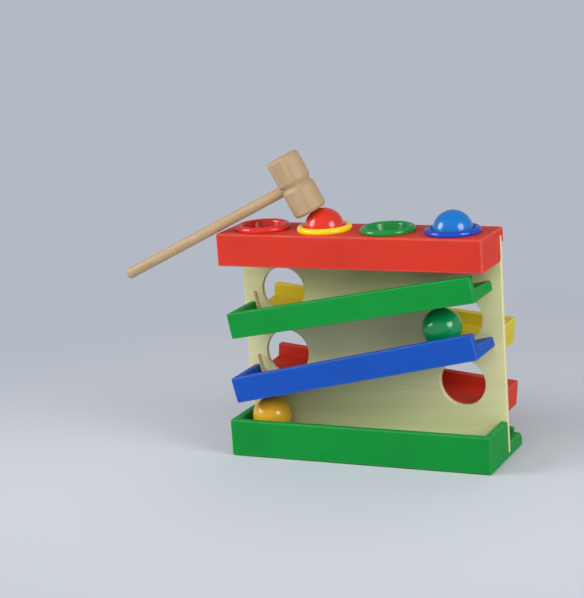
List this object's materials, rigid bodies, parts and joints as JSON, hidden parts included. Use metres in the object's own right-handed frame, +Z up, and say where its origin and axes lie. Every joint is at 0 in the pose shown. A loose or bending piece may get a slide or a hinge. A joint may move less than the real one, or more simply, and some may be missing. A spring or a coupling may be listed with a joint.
{
  "type": "ball pounding toy",
  "caption": "Wooden toy whose balls are knocked with a mallet through rings in a beam and roll down zigzag ramps on both sides of an upright board into a tray.",
  "frame": {"origin": "on the ground, at the middle of the tray's base", "axes": "+X along the toy to the right, -Y towards the front, +Z up"},
  "size_m": [0.3997, 0.1346, 0.3302],
  "materials": {
    "plywood": "bare pale plywood, sanded",
    "beech": "bare beech, sanded",
    "red_paint": "satin lacquer on wood",
    "green_paint": "satin lacquer on wood",
    "blue_paint": "satin lacquer on wood",
    "yellow_paint": "satin lacquer on wood",
    "red_plastic": "soft glossy plastic",
    "yellow_plastic": "soft glossy plastic",
    "green_plastic": "soft glossy plastic",
    "blue_plastic": "soft glossy plastic",
    "red_gloss": "gloss lacquer on wood",
    "blue_gloss": "gloss lacquer on wood",
    "green_gloss": "gloss lacquer on wood",
    "yellow_gloss": "gloss lacquer on wood"
  },
  "bodies": {
    "stand": {"centre_board": "plywood", "beam_plate": "red_paint", "beam_front": "red_paint", "beam_left_end": "red_paint", "beam_right_end": "red_paint", "beam_rear_lip": "red_paint", "red_ring": "red_plastic", "yellow_ring": "yellow_plastic", "green_ring": "green_plastic", "blue_ring": "blue_plastic", "green_ramp_floor": "green_paint", "green_ramp_wall": "green_paint", "green_ramp_end": "green_paint", "green_ramp_pin": "beech", "blue_ramp_floor": "blue_paint", "blue_ramp_wall": "blue_paint", "blue_ramp_end": "blue_paint", "blue_ramp_pin": "beech", "yellow_ramp_floor": "yellow_paint", "yellow_ramp_wall": "yellow_paint", "yellow_ramp_end": "yellow_paint", "red_ramp_floor": "red_paint", "red_ramp_wall": "red_paint", "red_ramp_end": "red_paint", "tray_floor": "green_paint", "tray_front": "green_paint", "tray_left_end": "green_paint", "tray_right_end": "green_paint", "tray_back": "green_paint", "ramp_dowels": "beech", "beam_dowels": "beech", "tray_dowels": "beech"},
    "red_ball": {"red_ball": "red_gloss"},
    "blue_ball": {"blue_ball": "blue_gloss"},
    "green_ball": {"green_ball": "green_gloss"},
    "yellow_ball": {"yellow_ball": "yellow_gloss"},
    "mallet": {"mallet_head": "beech", "mallet_handle": "beech"}
  },
  "joints": [
    {"name": "red_ball_drop", "type": "slide", "parent": "stand", "child": "red_ball", "axis": [0, 0, -1], "range_m": [0, 0.0644], "deforming": ["yellow_ring"]},
    {"name": "blue_ball_drop", "type": "slide", "parent": "stand", "child": "blue_ball", "axis": [0, 0, -1], "range_m": [0, 0.0388], "deforming": ["blue_ring"]},
    {"name": "green_ball_roll", "type": "slide", "parent": "stand", "child": "green_ball", "axis": [-0.9758, 0, -0.2187], "range_m": [0, 0.206]},
    {"name": "yellow_ball_roll", "type": "slide", "parent": "stand", "child": "yellow_ball", "axis": [1, 0, 0], "range_m": [-0.0051, 0.2311]},
    {"name": "mallet_lift", "type": "slide", "parent": "stand", "child": "mallet", "axis": [0, 0, 1], "range_m": [0, 0.12]}
  ]
}
